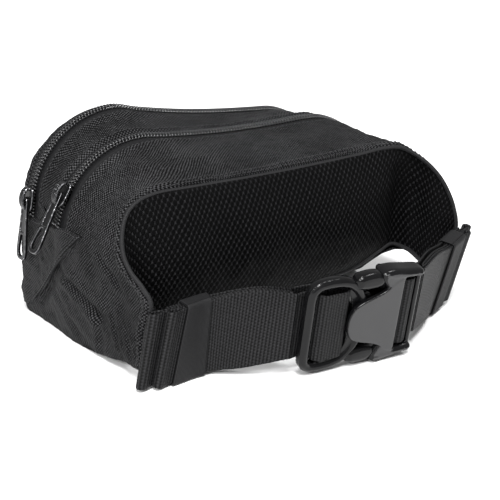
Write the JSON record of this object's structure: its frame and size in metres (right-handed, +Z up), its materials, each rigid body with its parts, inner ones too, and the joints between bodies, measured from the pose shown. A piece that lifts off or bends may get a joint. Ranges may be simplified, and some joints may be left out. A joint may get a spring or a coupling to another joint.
{
  "type": "waist pack",
  "caption": "Soft waist pack with a front pocket and a main compartment, curved zips, a padded mesh back, side wings and a belt closed by a side-release buckle.",
  "frame": {"origin": "on the flat underside of the pouch, in the middle of its width", "axes": "+X towards the end where the zips close, -Y the outer front, +Y the side the wearer's back touches, +Z up"},
  "size_m": [0.2446, 0.1916, 0.1149],
  "materials": {
    "pack_cloth": "coarse woven nylon, matt",
    "lining_cloth": "smooth lining cloth",
    "foam": "soft padding",
    "spacer_mesh": "open knitted spacer mesh",
    "zip_tape": "fine woven tape",
    "zip_coil": "satin nylon coil",
    "zip_metal": "black coated, edges worn bright",
    "webbing": "ribbed webbing",
    "elastic": "fine ribbed elastic",
    "buckle_plastic": "moulded, glossy frame and satin plate"
  },
  "bodies": {
    "pack": {"back_foam": "foam", "back_lining": "lining_cloth", "back_mesh": "spacer_mesh", "buckle_female": "buckle_plastic", "divider_panel": "lining_cloth", "end_panel_left": "pack_cloth", "end_panel_right": "pack_cloth", "front_band": "pack_cloth", "front_panel": "pack_cloth", "front_zip_coils": "zip_coil", "front_zip_stop": "zip_metal", "front_zip_tapes": "zip_tape", "main_zip_coils": "zip_coil", "main_zip_stop": "zip_metal", "main_zip_tapes": "zip_tape", "middle_gusset": "pack_cloth", "rear_gusset": "pack_cloth", "underside_panel": "pack_cloth", "webbing_base_left": "webbing", "webbing_base_right": "webbing", "webbing_loop_right": "webbing", "webbing_span_left": "webbing", "webbing_span_right": "webbing", "webbing_tail_left": "webbing", "webbing_tail_right": "webbing", "wing_fabric_left": "pack_cloth", "wing_fabric_right": "pack_cloth", "wing_foam_left": "foam", "wing_foam_right": "foam", "wing_mesh_left": "spacer_mesh", "wing_mesh_right": "spacer_mesh"},
    "main_slider": {"main_zip_slider": "zip_metal"},
    "main_puller": {"main_zip_puller": "zip_metal"},
    "front_slider": {"front_zip_slider": "zip_metal"},
    "front_puller": {"front_zip_puller": "zip_metal"},
    "buckle_insert": {"buckle_male": "buckle_plastic", "webbing_loop_left": "webbing"},
    "prong_upper": {"buckle_prong_upper": "buckle_plastic"},
    "prong_lower": {"buckle_prong_lower": "buckle_plastic"},
    "keeper_left": {"keeper_left": "elastic"},
    "keeper_right": {"keeper_right": "elastic"}
  },
  "joints": [
    {"name": "main_zip_run", "type": "hinge", "parent": "pack", "child": "main_slider", "pos_m": [0.054, -0.004, 0.055], "axis": [0, -1, 0], "range_deg": [-8.5, 50]},
    {"name": "main_puller_swing", "type": "hinge", "parent": "main_slider", "child": "main_puller", "pos_m": [0.10187, -0.004, 0.08377], "axis": [0, -1, 0], "range_deg": [0, 160]},
    {"name": "front_zip_run", "type": "hinge", "parent": "pack", "child": "front_slider", "pos_m": [0.047, -0.045, 0.062], "axis": [0, -1, 0], "range_deg": [0, 65]},
    {"name": "front_puller_swing", "type": "hinge", "parent": "front_slider", "child": "front_puller", "pos_m": [0.10231, -0.045, 0.06977], "axis": [0, -1, 0], "range_deg": [0, 160]},
    {"name": "buckle_release", "type": "slide", "parent": "pack", "child": "buckle_insert", "axis": [0.993, -0.1184, 0], "range_m": [0, 0.026], "deforming": ["webbing_span_left", "buckle_prong_upper", "buckle_prong_lower"]},
    {"name": "prong_upper_press", "type": "hinge", "parent": "buckle_insert", "child": "prong_upper", "pos_m": [0.00051, 0.11702, 0.03596], "axis": [-0.1156, -0.9694, 0.2164], "range_deg": [0, 15], "stiffness_Nm_per_rad": 1},
    {"name": "prong_lower_press", "type": "hinge", "parent": "buckle_insert", "child": "prong_lower", "pos_m": [0.00013, 0.11379, 0.02131], "axis": [0.1156, 0.9694, -0.2164], "range_deg": [0, 15], "stiffness_Nm_per_rad": 1},
    {"name": "keeper_left_slide", "type": "slide", "parent": "pack", "child": "keeper_left", "axis": [0.9998, 0.0167, -0.0083], "range_m": [0, 0.006]},
    {"name": "keeper_right_slide", "type": "slide", "parent": "pack", "child": "keeper_right", "axis": [-0.9175, -0.3976, 0.0122], "range_m": [0, 0.005]}
  ]
}
